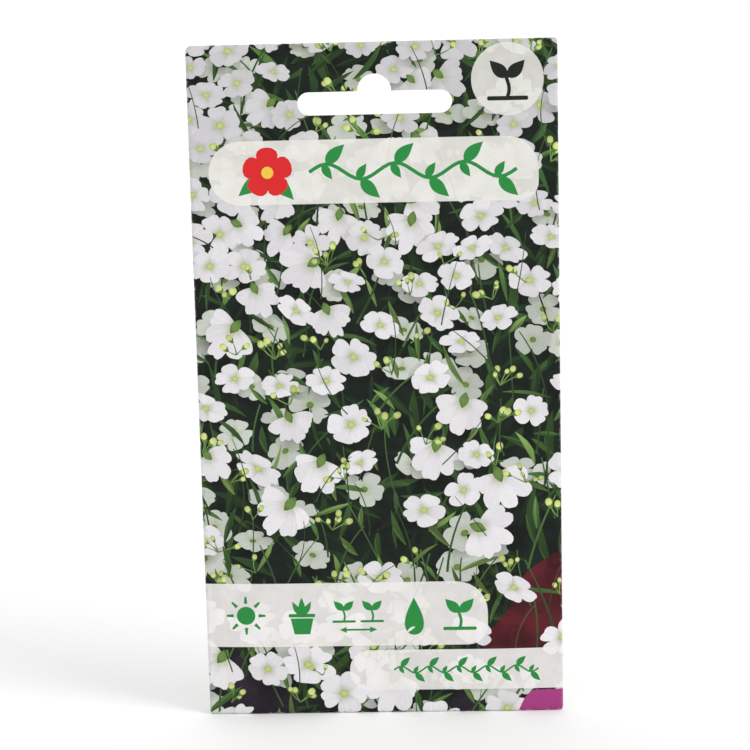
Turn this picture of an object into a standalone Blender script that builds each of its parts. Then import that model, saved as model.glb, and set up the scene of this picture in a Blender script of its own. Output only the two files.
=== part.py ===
"""A flat paper seed packet, standing on its bottom fold.

Metres, +Z up, front facing -Y, +X to the right seen from the front.
The origin is under the middle of the packet, on the surface that it stands on.
"""
import math
import random

import bmesh
import bpy
from mathutils import Matrix

# Driving dimensions of the envelope
WIDTH = 0.080
HEIGHT = 0.150
PAPER = 0.00025
GAP = 0.0003
BOW = 0.0009
SIDE_HALF = 0.00045
FOOT_HALF = 0.0014
BELLY_HALF = 0.00205
BELLY_LOW = 0.020
BELLY_HIGH = 0.045
HEADER_LOW = 0.120
BELLY_SPREAD = 1.03
BELLY_POWER = 4
LAP = 0.005
LAP_RAMP = 0.0075
TOP_FLAP = 0.022
TOP_FLAP_INSET = 0.0015
BOTTOM_FLAP = 0.014
BOTTOM_FLAP_INSET = 0.0055
FOLD_RADIUS = 0.0005

# The hanging slot: a long slot with a round hump in the middle of its upper edge
SLOT_LENGTH = 0.0335
SLOT_HEIGHT = 0.0050
SLOT_HUMP_RADIUS = 0.0037
SLOT_DROP = 0.0130
SLOT_SHIFT = 0.0005

# Glue lines
GLUE = 0.00012
SEAM_GLUE_WIDTH = 0.005
SEAM_GLUE_LOW = 0.0025
SEAM_GLUE_HIGH = 0.125
BOTTOM_GLUE_LOW = 0.004
BOTTOM_GLUE_HIGH = 0.012
TOP_GLUE_LOW = 0.1295
TOP_GLUE_HIGH = 0.1330
TOP_GLUE_HALF_WIDTH = 0.035
BOTTOM_GLUE_HALF_WIDTH = 0.032

# The inner sachet and the seeds in it
FILM = 0.00015
SACHET_WIDTH = 0.056
SACHET_HEIGHT = 0.085
SACHET_LOW = 0.0006
SACHET_FORWARD = 0.00025
SEAL = 0.006
SACHET_BELLY = 0.00135
SACHET_RISE = 0.012
SACHET_FALL = 0.045
SACHET_POWER = 4
CRIMP_PITCH = 0.0020
CRIMP_DEPTH = 0.00008
SEED_RADIUS = 0.00095
SEED_PITCH = 0.0015
SEED_JITTER = 0.00005
HEAP_HALF_WIDTH = 0.0080
HEAP_HEIGHT = 0.0063
HEAP_FLOOR = 0.75
HEAP_POWER = 1.5
SEED_TURN = math.radians(37.0)
SEED_DRAW = 11
SEED_DETAIL = 1

# Mesh steps
COLUMN = 0.0025
LEAST_COLUMN = 0.2
FRONT_COLUMN = 0.0050
ROW = 0.0100
FINE_ROW = 0.0025
FLAP_ROW = 0.0030
SACHET_COLUMN = 0.0080
FOLD_STEPS = 3
NOSE_STEPS = 6
SLOT_END_STEPS = 10
SLOT_HUMP_STEPS = 14
CUTTER_REACH = 0.010

PRINT_WHITE = (0.72, 0.75, 0.70, 1.0)
PAPER_WHITE = (0.86, 0.86, 0.83, 1.0)
GLUE_AMBER = (0.80, 0.74, 0.58, 1.0)
FOIL_GREY = (0.62, 0.63, 0.64, 1.0)
SEED_BROWN = (0.36, 0.22, 0.11, 1.0)


def smooth(value):
    """An S-shaped step from 0 to 1."""
    value = min(max(value, 0.0), 1.0)
    return value * value * (3.0 - 2.0 * value)


def steps(start, end, step):
    """Evenly spaced values from start to end, no further apart than step."""
    count = max(1, math.ceil(abs(end - start) / step - 1e-9))
    return [start + (end - start) * index / count for index in range(count + 1)]


def chain(stops, step_sizes):
    """Values that run through all the stops, with a step size for each stretch."""
    values = [stops[0]]
    for start, end, step in zip(stops, stops[1:], step_sizes):
        values.extend(steps(start, end, step)[1:])
    return values


def columns_between(low, high):
    """Places across the packet, on a grid that neighbouring sheets share, with both ends.

    A grid place closer to an end than LEAST_COLUMN of a column is left out.
    """
    first = math.ceil(low / COLUMN + LEAST_COLUMN)
    last = math.floor(high / COLUMN - LEAST_COLUMN)
    return [low] + [COLUMN * index for index in range(first, last + 1)] + [high]


def bow(x):
    """How far the packet's middle plane lies back at this place across its width."""
    return BOW * (1.0 - (2.0 * x / WIDTH) ** 2) - BOW / 2.0


def half_depth(x, z):
    """Distance from the middle plane to the middle of the front or back paper."""
    if z < BELLY_LOW:
        profile = FOOT_HALF + (BELLY_HALF - FOOT_HALF) * smooth(z / BELLY_LOW)
    else:
        fall = smooth((z - BELLY_HIGH) / (HEADER_LOW - BELLY_HIGH))
        profile = BELLY_HALF + (SIDE_HALF - BELLY_HALF) * fall
    across = max(0.0, 1.0 - abs(2.0 * x / WIDTH * BELLY_SPREAD) ** BELLY_POWER)
    return SIDE_HALF + (profile - SIDE_HALF) * across


def front_y(x, z):
    """Middle of the front paper."""
    return bow(x) - half_depth(x, z)


def back_y(x, z):
    """Middle of the inner back paper."""
    return bow(x) + half_depth(x, z)


def lap_lift(x):
    """How far the outer back paper stands off, where it laps over the inner one."""
    return (PAPER + GAP) * smooth((x + LAP + LAP_RAMP) / LAP_RAMP)


def outer_back_y(x, z):
    """Middle of whichever back paper is outermost, stepping down past the lap's edge."""
    if x <= LAP:
        return back_y(x, z) + lap_lift(x)
    return back_y(x, z) + (PAPER + GAP) * (1.0 - smooth((x - LAP - GAP) / LAP_RAMP))


def top_flap_y(x, z):
    """Middle of the top flap, which lies over the back."""
    return outer_back_y(x, z) + PAPER + GAP


def bottom_flap_y(x, z):
    """Middle of the bottom flap, which the two back halves are glued over."""
    return back_y(x, z) - PAPER - GAP


def sachet_y(x):
    """Middle plane of the inner sachet."""
    return bow(x) - SACHET_FORWARD


def depth_shift():
    """Moves the packet along Y so that its box is centred on the origin."""
    columns = columns_between(-WIDTH / 2.0, WIDTH / 2.0)
    rows = steps(0.0, HEIGHT, FINE_ROW)
    nearest = min(front_y(x, z) for x in columns for z in rows)
    furthest = max(outer_back_y(x, z) for x in columns for z in rows)
    return -(nearest + furthest) / 2.0


SHIFT = depth_shift()


def material(name, color, roughness, metallic=0.0):
    made = bpy.data.materials.new(name)
    made.use_nodes = True
    shader = made.node_tree.nodes["Principled BSDF"]
    shader.inputs["Base Color"].default_value = color
    shader.inputs["Roughness"].default_value = roughness
    shader.inputs["Metallic"].default_value = metallic
    made.diffuse_color = color
    return made


def link(name, mesh, made_of):
    piece = bpy.data.objects.new(name, mesh)
    piece.data.materials.append(made_of)
    bpy.context.collection.objects.link(piece)
    return piece


def sheet(name, grid, thickness, made_of):
    """A thin sheet round a grid of points (rows of columns) that lie on its middle."""
    mesh = bpy.data.meshes.new(name)
    shell = bmesh.new()
    corners = [[shell.verts.new((x, y + SHIFT, z)) for x, y, z in row] for row in grid]
    for low, high in zip(corners, corners[1:]):
        for column in range(len(low) - 1):
            shell.faces.new((low[column], low[column + 1], high[column + 1], high[column]))
    shell.to_mesh(mesh)
    shell.free()
    piece = link(name, mesh, made_of)
    skin = piece.modifiers.new("paper thickness", "SOLIDIFY")
    skin.thickness = thickness
    skin.offset = 0.0
    skin.use_even_offset = True
    return piece


def panel_rows(low, high):
    """Heights of the rows of an upright panel: close together where the depth changes fast."""
    return chain([low, BELLY_LOW, HEADER_LOW, high], [FINE_ROW, ROW, ROW])


def front_section(z):
    """One row of the front panel: from the back of the left fold to the back of the right."""
    fold_x = WIDTH / 2.0 - SIDE_HALF - PAPER / 2.0
    row = [(x, front_y(x, z), z) for x in steps(-fold_x, fold_x, FRONT_COLUMN)]
    right = []
    for index in range(1, NOSE_STEPS + 1):
        angle = math.pi * index / NOSE_STEPS
        out = fold_x + SIDE_HALF * math.sin(angle)
        right.append((out, bow(fold_x) - SIDE_HALF * math.cos(angle), z))
    left = [(-x, y, height) for x, y, height in reversed(right)]
    return left + row + right


def front_panel(made_of):
    rows = [front_section(z) for z in panel_rows(0.0, HEIGHT)]
    return sheet("front_panel", rows, PAPER, made_of)


def back_panel(name, start, end, depth_at, made_of):
    """One half of the back, from the surface that the packet stands on to the top strip."""
    high = HEIGHT - PAPER - GAP
    columns = columns_between(start, end)
    rows = [[(x, depth_at(x, z), z) for x in columns] for z in panel_rows(0.0, high)]
    return sheet(name, rows, PAPER, made_of)


def flap_path(x, fold_z, reach, sense, depth_at):
    """A flap's side view at one place across it: along the fold, round it and up the back.

    The fold lies at the height fold_z, and sense is 1 for a flap that turns up, -1 for down.
    """
    start = front_y(x, fold_z) + PAPER / 2.0 + GAP
    corner_z = fold_z + sense * FOLD_RADIUS
    outer = depth_at(x, corner_z)
    path = [(x, start, fold_z), (x, outer - FOLD_RADIUS, fold_z)]
    for index in range(1, FOLD_STEPS):
        angle = math.pi / 2.0 * index / FOLD_STEPS
        y = outer - FOLD_RADIUS + FOLD_RADIUS * math.sin(angle)
        path.append((x, y, corner_z - sense * FOLD_RADIUS * math.cos(angle)))
    for z in steps(corner_z, fold_z + sense * reach, FLAP_ROW):
        path.append((x, depth_at(x, z), z))
    return path


def top_flap(made_of):
    half = WIDTH / 2.0 - TOP_FLAP_INSET
    fold_z = HEIGHT - PAPER / 2.0
    grid = [flap_path(x, fold_z, TOP_FLAP, -1.0, top_flap_y) for x in columns_between(-half, half)]
    return sheet("top_flap", grid, PAPER, made_of)


def bottom_flap(made_of):
    half = WIDTH / 2.0 - BOTTOM_FLAP_INSET
    fold_z = PAPER / 2.0
    columns = columns_between(-half, half)
    grid = [flap_path(x, fold_z, BOTTOM_FLAP, 1.0, bottom_flap_y) for x in columns]
    return sheet("bottom_flap", grid, PAPER, made_of)


def glue_line(name, columns, rows, depth_at, made_of):
    """A thin line of glue on the back of the sheet that depth_at describes."""
    lift = (PAPER + GAP) / 2.0
    grid = [[(x, depth_at(x, z) + lift, z) for x in columns] for z in rows]
    return sheet(name, grid, GLUE, made_of)


def seam_glue(made_of):
    half = SEAM_GLUE_WIDTH / 2.0
    rows = panel_rows(SEAM_GLUE_LOW, SEAM_GLUE_HIGH)
    return glue_line("seam_glue", columns_between(-half, half), rows, back_y, made_of)


def top_glue(made_of):
    columns = columns_between(-TOP_GLUE_HALF_WIDTH, TOP_GLUE_HALF_WIDTH)
    rows = steps(TOP_GLUE_LOW, TOP_GLUE_HIGH, FLAP_ROW)
    return glue_line("top_glue", columns, rows, outer_back_y, made_of)


def bottom_glue(made_of):
    columns = columns_between(-BOTTOM_GLUE_HALF_WIDTH, BOTTOM_GLUE_HALF_WIDTH)
    rows = steps(BOTTOM_GLUE_LOW, BOTTOM_GLUE_HIGH, FLAP_ROW)
    return glue_line("bottom_glue", columns, rows, bottom_flap_y, made_of)


def slot_outline():
    """The slot's outline in X and Z, counter-clockwise seen from the front."""
    radius = SLOT_HEIGHT / 2.0
    reach = SLOT_LENGTH / 2.0 - radius
    middle = HEIGHT - SLOT_DROP
    points = []
    for index in range(SLOT_END_STEPS + 1):
        angle = -math.pi / 2.0 + math.pi * index / SLOT_END_STEPS
        points.append((reach + radius * math.cos(angle), middle + radius * math.sin(angle)))
    for index in range(SLOT_HUMP_STEPS + 1):
        angle = math.pi * index / SLOT_HUMP_STEPS
        rise = middle + radius + SLOT_HUMP_RADIUS * math.sin(angle)
        points.append((SLOT_HUMP_RADIUS * math.cos(angle), rise))
    for index in range(SLOT_END_STEPS + 1):
        angle = math.pi / 2.0 + math.pi * index / SLOT_END_STEPS
        points.append((-reach + radius * math.cos(angle), middle + radius * math.sin(angle)))
    return [(x + SLOT_SHIFT, z) for x, z in points]


def slot_cutter():
    mesh = bpy.data.meshes.new("slot cutter")
    cutter = bmesh.new()
    ring = [cutter.verts.new((x, -CUTTER_REACH, z)) for x, z in slot_outline()]
    face = cutter.faces.new(ring)
    pushed = bmesh.ops.extrude_face_region(cutter, geom=[face])
    moved = [item for item in pushed["geom"] if isinstance(item, bmesh.types.BMVert)]
    bmesh.ops.translate(cutter, verts=moved, vec=(0.0, 2.0 * CUTTER_REACH, 0.0))
    bmesh.ops.recalc_face_normals(cutter, faces=cutter.faces)
    cutter.to_mesh(mesh)
    cutter.free()
    piece = bpy.data.objects.new("slot cutter", mesh)
    bpy.context.collection.objects.link(piece)
    piece.hide_render = True
    piece.display_type = "WIRE"
    return piece


def punch(piece, cutter):
    cut = piece.modifiers.new("hanging slot", "BOOLEAN")
    cut.operation = "DIFFERENCE"
    cut.solver = "EXACT"
    cut.object = cutter


def sachet_half(x, z):
    """Distance from the sachet's middle plane to the middle of one of its films."""
    sealed = (FILM + GAP) / 2.0
    inner_x = SACHET_WIDTH / 2.0 - SEAL
    inner_low = SACHET_LOW + SEAL
    inner_high = SACHET_LOW + SACHET_HEIGHT - SEAL
    if abs(x) >= inner_x or z <= inner_low or z >= inner_high:
        return sealed
    rise = smooth((z - inner_low) / SACHET_RISE)
    fall = smooth((inner_high - z) / SACHET_FALL)
    across = 1.0 - abs(x / inner_x) ** SACHET_POWER
    return sealed + (SACHET_BELLY - sealed) * rise * fall * across


def crimp(z):
    """Zigzag of the ribs pressed into the sachet's top and bottom seals."""
    from_end = min(z - SACHET_LOW, SACHET_LOW + SACHET_HEIGHT - z)
    if from_end > SEAL - CRIMP_PITCH / 4.0 or from_end < CRIMP_PITCH / 4.0:
        return 0.0
    return CRIMP_DEPTH if round(2.0 * from_end / CRIMP_PITCH) % 2 else -CRIMP_DEPTH


def sachet_film(name, side, made_of):
    top = SACHET_LOW + SACHET_HEIGHT
    stops = [SACHET_LOW, SACHET_LOW + SEAL, SACHET_LOW + SEAL + SACHET_RISE, top - SEAL, top]
    rows = chain(stops, [CRIMP_PITCH / 2.0, FINE_ROW, ROW, CRIMP_PITCH / 2.0])
    half = SACHET_WIDTH / 2.0
    inner = half - SEAL
    columns = chain([-half, -inner, inner, half], [SEAL, SACHET_COLUMN, SEAL])
    grid = [[(x, sachet_y(x) + side * sachet_half(x, z) + crimp(z), z) for x in columns]
            for z in rows]
    return sheet(name, grid, FILM, made_of)


def seed_places():
    """Centres of the seeds: close rows that narrow towards the top of the heap."""
    draw = random.Random(SEED_DRAW)
    floor = SACHET_LOW + SEAL + SACHET_RISE * HEAP_FLOOR
    row_rise = SEED_PITCH * math.sqrt(3.0) / 2.0
    places = []
    for row in range(int(HEAP_HEIGHT / row_rise) + 1):
        rise = row * row_rise
        taper = 1.0 - (rise / HEAP_HEIGHT) ** HEAP_POWER
        half = HEAP_HALF_WIDTH * math.sqrt(max(0.0, taper))
        count = int(half / SEED_PITCH)
        for column in range(-count, count + 1):
            x = (column + 0.5 * (row % 2)) * SEED_PITCH + draw.uniform(-1, 1) * SEED_JITTER
            z = floor + rise + draw.uniform(-1, 1) * SEED_JITTER
            places.append((x, z))
    return places


def seeds(made_of):
    """The heap of seeds, one deep, joined where neighbours touch."""
    grains = bpy.data.collections.new("grains")
    bpy.context.scene.collection.children.link(grains)
    grain_list = []
    for index, (x, z) in enumerate(seed_places()):
        mesh = bpy.data.meshes.new("grain")
        ball = bmesh.new()
        bmesh.ops.create_icosphere(ball, subdivisions=SEED_DETAIL, radius=SEED_RADIUS)
        turn = Matrix.Rotation(SEED_TURN * index, 3, "X")
        bmesh.ops.rotate(ball, verts=ball.verts, matrix=turn)
        bmesh.ops.translate(ball, verts=ball.verts, vec=(x, sachet_y(x) + SHIFT, z))
        ball.to_mesh(mesh)
        ball.free()
        grain = bpy.data.objects.new("grain", mesh)
        grains.objects.link(grain)
        grain_list.append(grain)
    heap = link("seeds", grain_list[0].data.copy(), made_of)
    grains.objects.unlink(grain_list[0])
    join = heap.modifiers.new("join grains", "BOOLEAN")
    join.operation = "UNION"
    join.solver = "EXACT"
    join.operand_type = "COLLECTION"
    join.collection = grains
    apply_modifiers(heap)
    for grain in grain_list:
        bpy.data.objects.remove(grain)
    bpy.data.collections.remove(grains)
    return heap


def apply_modifiers(piece):
    """Replaces a piece's mesh by the mesh that its modifiers make."""
    graph = bpy.context.evaluated_depsgraph_get()
    made = bpy.data.meshes.new_from_object(piece.evaluated_get(graph))
    piece.modifiers.clear()
    piece.data = made


def clear_scene():
    for piece in list(bpy.data.objects):
        bpy.data.objects.remove(piece)


def build():
    clear_scene()
    printed = material("printed front", PRINT_WHITE, 0.35)
    paper = material("paper", PAPER_WHITE, 0.55)
    glue = material("glue", GLUE_AMBER, 0.30)
    foil = material("foil", FOIL_GREY, 0.30, 1.0)
    seed = material("seed", SEED_BROWN, 0.70)

    fold_x = WIDTH / 2.0 - SIDE_HALF - PAPER / 2.0 - GAP
    punched = [
        front_panel(printed),
        back_panel("back_panel_right", -LAP, fold_x, back_y, paper),
        back_panel("back_panel_left", -fold_x, LAP, outer_back_y, paper),
        top_flap(paper),
    ]
    cutter = slot_cutter()
    for piece in punched:
        punch(piece, cutter)
    bottom_flap(paper)
    seam_glue(glue)
    bottom_glue(glue)
    top_glue(glue)
    sachet_film("sachet_front", -1.0, foil)
    sachet_film("sachet_back", 1.0, foil)
    seeds(seed)


build()
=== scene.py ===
"""A flat paper seed packet: folded printed sheets, glue lines, and the sachet of seeds inside.

Metres, +Z up, front facing -Y. The print is laid out in millimetres on the flat sheets.
"""

import random
from math import ceil, cos, exp, hypot, pi, radians, sin, tau

import bpy
import numpy as np
from mathutils import Euler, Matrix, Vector
from mathutils.geometry import delaunay_2d_cdt
from mathutils.noise import noise


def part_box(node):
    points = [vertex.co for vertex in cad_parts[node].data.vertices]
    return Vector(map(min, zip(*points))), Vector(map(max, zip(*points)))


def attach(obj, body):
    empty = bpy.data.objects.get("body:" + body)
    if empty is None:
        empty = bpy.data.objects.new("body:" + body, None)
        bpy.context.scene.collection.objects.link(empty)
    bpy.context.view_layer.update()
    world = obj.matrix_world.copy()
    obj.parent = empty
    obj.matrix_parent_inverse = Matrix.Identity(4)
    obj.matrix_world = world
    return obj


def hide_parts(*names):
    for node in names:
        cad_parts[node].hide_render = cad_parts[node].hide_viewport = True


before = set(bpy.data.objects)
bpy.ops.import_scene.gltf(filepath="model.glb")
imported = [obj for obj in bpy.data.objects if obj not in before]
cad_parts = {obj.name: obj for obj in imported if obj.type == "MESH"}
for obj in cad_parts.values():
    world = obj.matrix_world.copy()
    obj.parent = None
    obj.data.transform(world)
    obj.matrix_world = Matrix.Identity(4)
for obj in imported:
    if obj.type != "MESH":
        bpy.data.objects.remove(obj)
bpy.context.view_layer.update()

MM = 0.001

# The envelope, as its solids have it
WIDTH = 0.080
HEIGHT = 0.150
PAPER = 0.00025
GAP = 0.0003
BOW = 0.0009
SIDE_HALF = 0.00045
FOOT_HALF = 0.0014
BELLY_HALF = 0.00205
BELLY_LOW = 0.020
BELLY_HIGH = 0.045
HEADER_LOW = 0.120
BELLY_SPREAD = 1.03
BELLY_POWER = 4
LAP = 0.005
LAP_RAMP = 0.0075
TOP_FLAP = 0.022
TOP_FLAP_INSET = 0.0015
BOTTOM_FLAP = 0.014
BOTTOM_FLAP_INSET = 0.0055
SLOT_LENGTH = 0.0335
SLOT_HEIGHT = 0.0050
SLOT_HUMP_RADIUS = 0.0037
SLOT_DROP = 0.0130
SLOT_SHIFT = 0.0005

# Finer form of the sheets
EDGE_ROUND = 0.00035
FLAP_ROUND = 0.0006
STRIP = 0.00085
TOUCH = 0.00002
NOSE_RADIUS = SIDE_HALF + PAPER / 2.0
FOLD_X = WIDTH / 2.0 - NOSE_RADIUS
SACHET_HALF_WIDTH = 0.028
SACHET_TOP = 0.0856
IMPRINT = 0.00007
IMPRINT_EDGE = 0.0025
IMPRINT_LOW = 0.010
WAVE_HEIGHT = 0.00010
WAVE_LENGTH = 0.030
WAVE_STRETCH = 0.7
WAVE_FADE = 0.012
WAVE_FADE_TOP = 0.020
BACK_WAVE_DRAW = 4.0
CORNER_ROUND = 0.0006
WORN_CORNER_ROUND = 0.0014
SLOPE_REACH = 1e-5
NORMAL_REACH = 2e-5

# The photograph's camera
LENS = 100.0
CAMERA_PLACE = (0.01491, -0.45342, 0.15584)
CAMERA_TURN = (radians(80.168), radians(1.350), radians(1.749))


def smooth(value):
    """An S-shaped step from 0 to 1."""
    value = min(max(value, 0.0), 1.0)
    return value * value * (3.0 - 2.0 * value)


def blend(low, high, share):
    return low + (high - low) * share


def bow(x):
    """How far the packet's middle plane lies back at this place across its width."""
    return BOW * (1.0 - (2.0 * x / WIDTH) ** 2) - BOW / 2.0


def half_depth(x, z):
    """Distance from the middle plane to the middle of the front or back paper."""
    if z < BELLY_LOW:
        profile = FOOT_HALF + (BELLY_HALF - FOOT_HALF) * smooth(z / BELLY_LOW)
    else:
        fall = smooth((z - BELLY_HIGH) / (HEADER_LOW - BELLY_HIGH))
        profile = BELLY_HALF + (SIDE_HALF - BELLY_HALF) * fall
    across = max(0.0, 1.0 - abs(2.0 * x / WIDTH * BELLY_SPREAD) ** BELLY_POWER)
    return SIDE_HALF + (profile - SIDE_HALF) * across


def lap_lift(x):
    """How far the outer back paper stands off, where it laps over the inner one."""
    return (PAPER + GAP) * smooth((x + LAP + LAP_RAMP) / LAP_RAMP)


def right_back_depth(x, z):
    return bow(x) + half_depth(x, z)


def left_back_depth(x, z):
    return right_back_depth(x, z) + lap_lift(x)


def top_flap_depth(x, z):
    """Middle of the top flap, which lies over whichever back half is outermost."""
    if x <= LAP:
        lift = lap_lift(x)
    else:
        lift = (PAPER + GAP) * (1.0 - smooth((x - LAP - GAP) / LAP_RAMP))
    return right_back_depth(x, z) + lift + PAPER + GAP


def bottom_flap_depth(x, z):
    return right_back_depth(x, z) - PAPER - GAP


def centring():
    """What centres the packet's depth on the origin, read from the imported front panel."""
    places = [WIDTH * index / 32.0 - WIDTH / 2.0 for index in range(33)]
    heights = [HEIGHT * index / 60.0 for index in range(61)]
    nearest = min(bow(x) - half_depth(x, z) for x in places for z in heights)
    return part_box("front_panel")[0].y + PAPER / 2.0 - nearest


SHIFT = centring()


def waviness(x, z, draw):
    """Slight unevenness of thin paper that fades out towards the folds and edges."""
    place = Vector((x / WAVE_LENGTH, z / WAVE_LENGTH * WAVE_STRETCH, draw))
    across = smooth((WIDTH / 2.0 - abs(x)) / WAVE_FADE)
    up = smooth((HEIGHT - z) / WAVE_FADE_TOP)
    return WAVE_HEIGHT * noise(place) * (across * smooth(z / WAVE_FADE) * up)


def imprint(x, z):
    """The inner sachet's outline, pressed faintly through the paper."""
    side = smooth((SACHET_HALF_WIDTH - abs(x)) / IMPRINT_EDGE + 0.5)
    top = smooth((SACHET_TOP - z) / IMPRINT_EDGE + 0.5)
    return IMPRINT * side * top * smooth(z / IMPRINT_LOW)


def soften_corner(point):
    """Rounds the packet's outline at its four corners, the upper left one the most."""
    side = 1.0 if point.x > 0.0 else -1.0
    upper = point.z > HEIGHT / 2.0
    radius = WORN_CORNER_ROUND if upper and side < 0.0 else CORNER_ROUND
    centre_x = WIDTH / 2.0 - radius
    centre_z = HEIGHT - radius if upper else radius
    out_x = abs(point.x) - centre_x
    out_z = point.z - centre_z if upper else centre_z - point.z
    if out_x <= 0.0 or out_z <= 0.0:
        return point
    squeeze = max(out_x, out_z) / hypot(out_x, out_z)
    new_z = centre_z + out_z * squeeze * (1.0 if upper else -1.0)
    return Vector((side * (centre_x + out_x * squeeze), point.y, new_z))


def front_section(s, z):
    """Middle of the front paper and its outward direction, s metres across the flat sheet."""
    if abs(s) <= FOLD_X:
        ahead = bow(s + SLOPE_REACH) - half_depth(s + SLOPE_REACH, z)
        behind = bow(s - SLOPE_REACH) - half_depth(s - SLOPE_REACH, z)
        swell = waviness(s, z, 0.0) - imprint(s, z)
        place = Vector((s, bow(s) - half_depth(s, z) + swell, z))
        return place, Vector((ahead - behind, -2.0 * SLOPE_REACH, 0.0)).normalized()
    side = 1.0 if s > 0.0 else -1.0
    angle = min((abs(s) - FOLD_X) / NOSE_RADIUS, pi)
    out = Vector((side * sin(angle), -cos(angle), 0.0))
    middle = Vector((side * FOLD_X, bow(FOLD_X), z))
    return middle + out * SIDE_HALF, out


def front_face(s, t):
    """The front sheet's printed face: upright, and rolled back at its top and bottom edges."""
    height = min(max(t, EDGE_ROUND), HEIGHT - EDGE_ROUND)
    turn = min(abs(t - height) / EDGE_ROUND, pi / 2.0)
    rise = EDGE_ROUND * sin(turn) * (1.0 if t > height else -1.0)
    place, out = front_section(s, height)
    face = place + out * (PAPER / 2.0 - EDGE_ROUND * (1.0 - cos(turn)))
    face.z = height + rise
    face.y += SHIFT
    return soften_corner(face)


def back_face(depth_at):
    """A printed face of the back: its place for x and z on the flat sheet."""
    def face(x, z):
        z = min(max(z, 0.0), HEIGHT)
        y = depth_at(x, z) + PAPER / 2.0 + waviness(x, z, BACK_WAVE_DRAW) + SHIFT
        return soften_corner(Vector((x, y, z)))
    return face


def flap_face(depth_at, fold_z, sense):
    """A flap's printed face: t runs from the fold's outer line up or down the back.

    Negative t lies on the flat strip of the fold itself, which reaches the front sheet at -STRIP.
    """
    quarter = FLAP_ROUND * pi / 2.0

    def face(x, t):
        corner_z = fold_z + sense * FLAP_ROUND
        outer = depth_at(x, corner_z) + PAPER / 2.0
        if t <= 0.0:
            near = bow(x) - half_depth(x, fold_z) - PAPER / 2.0 + EDGE_ROUND + TOUCH
            place = Vector((x, blend(outer - FLAP_ROUND, near, -t / STRIP), fold_z))
        elif t < quarter:
            turn = t / FLAP_ROUND
            y = outer - FLAP_ROUND + FLAP_ROUND * sin(turn)
            place = Vector((x, y, fold_z + sense * FLAP_ROUND * (1.0 - cos(turn))))
        else:
            z = corner_z + sense * (t - quarter)
            y = depth_at(x, z) + PAPER / 2.0 + waviness(x, z, BACK_WAVE_DRAW)
            place = Vector((x, y, z))
        place.y += SHIFT
        return soften_corner(place)
    return face


# Flat outlines, in millimetres

TIP_WIDTH = 0.02


def turned(points, angle, centre):
    cos_a, sin_a = cos(angle), sin(angle)
    return [(centre[0] + x * cos_a - z * sin_a, centre[1] + x * sin_a + z * cos_a)
            for x, z in points]


def sides_of(outline):
    """Each point of a closed outline with the next one."""
    return zip(outline, outline[1:] + outline[:1])


def extent(outline):
    """The lowest x and z and the highest x and z of an outline."""
    xs = [x for x, _ in outline]
    zs = [z for _, z in outline]
    return min(xs), min(zs), max(xs), max(zs)


def toward(angle, length):
    return length * cos(angle), length * sin(angle)


def arc(x, z, radius, start, sweep, steps):
    angles = [start + sweep * step / steps for step in range(steps + 1)]
    return [(x + radius * cos(angle), z + radius * sin(angle)) for angle in angles]


def disc(x, z, radius, steps):
    return arc(x, z, radius, 0.0, tau, steps)[:-1]


def rounded_box(left, low, right, high, radii=(0.0,) * 4, steps=7):
    """A box whose corners have their own radii: lower left, lower right, upper right, upper left."""
    corners = ((left, low, 1, 1), (right, low, -1, 1), (right, high, -1, -1),
               (left, high, 1, -1))
    points = []
    for index, ((x, z, to_x, to_z), radius) in enumerate(zip(corners, radii)):
        if radius == 0.0:
            points.append((x, z))
        else:
            start = pi + index * pi / 2.0
            points += arc(x + to_x * radius, z + to_z * radius, radius, start, pi / 2.0, steps)
    return points


def even_box(left, low, right, high, radius=0.0, steps=7):
    return rounded_box(left, low, right, high, (radius,) * 4, steps)


def ribbon(path, widths):
    """A strip along a path, as wide at each point as widths says."""
    left, right = [], []
    for index, (x, z) in enumerate(path):
        before = path[max(index - 1, 0)]
        after = path[min(index + 1, len(path) - 1)]
        run = Vector((after[0] - before[0], after[1] - before[1])).normalized()
        half = widths[index] / 2.0
        left.append((x - run.y * half, z + run.x * half))
        right.append((x + run.y * half, z - run.x * half))
    return left + right[::-1]


def blade(length, width, bend, steps=6, fullness=1.0):
    """A narrow leaf from the origin along +X, pointed at its tip and bent to one side."""
    shares = [step / steps for step in range(steps + 1)]
    spine = [(length * share, bend * length * share * share) for share in shares]
    widths = [width * sin(pi * min(0.04 + 0.96 * share ** fullness, 1.0)) for share in shares]
    widths[-1] = TIP_WIDTH
    return ribbon(spine, widths)


def petal_outline(length, width, notch, wave, phase, steps=20):
    """A petal from the origin along +X: narrow at its base, broad and notched at its tip."""
    points = []
    for step in range(steps):
        angle = tau * step / steps
        along = (1.0 - cos(angle)) / 2.0
        tip = exp(-((angle - pi) / 0.34) ** 2)
        ripple = 1.0 + wave * sin(3.0 * angle + phase) * along
        x = length * along * (1.0 - notch * tip) * ripple
        z = width / 2.0 * sin(angle) * (0.42 + 0.78 * along) * ripple
        points.append((x, z))
    return points


def slot_outline():
    """The hanging slot: a long slot with a round hump in the middle of its upper edge."""
    radius = SLOT_HEIGHT / MM / 2.0
    reach = SLOT_LENGTH / MM / 2.0 - radius
    middle = (HEIGHT - SLOT_DROP) / MM
    points = arc(reach, middle, radius, -pi / 2.0, pi, 16)
    points += arc(0.0, middle + radius, SLOT_HUMP_RADIUS / MM, 0.0, pi, 24)
    points += arc(-reach, middle, radius, pi / 2.0, pi, 16)
    return [(x + SLOT_SHIFT / MM, z) for x, z in points]


# Printed shapes: an outline with its tint, kind and own coordinates

# The kinds, which the print's material tells apart
GROUND, PETAL, LEAF, BUD, INK = 0.0, 1.0, 2.0, 3.0, 4.0

PETALS = 5
LEAST_PETAL = 0.5


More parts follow.
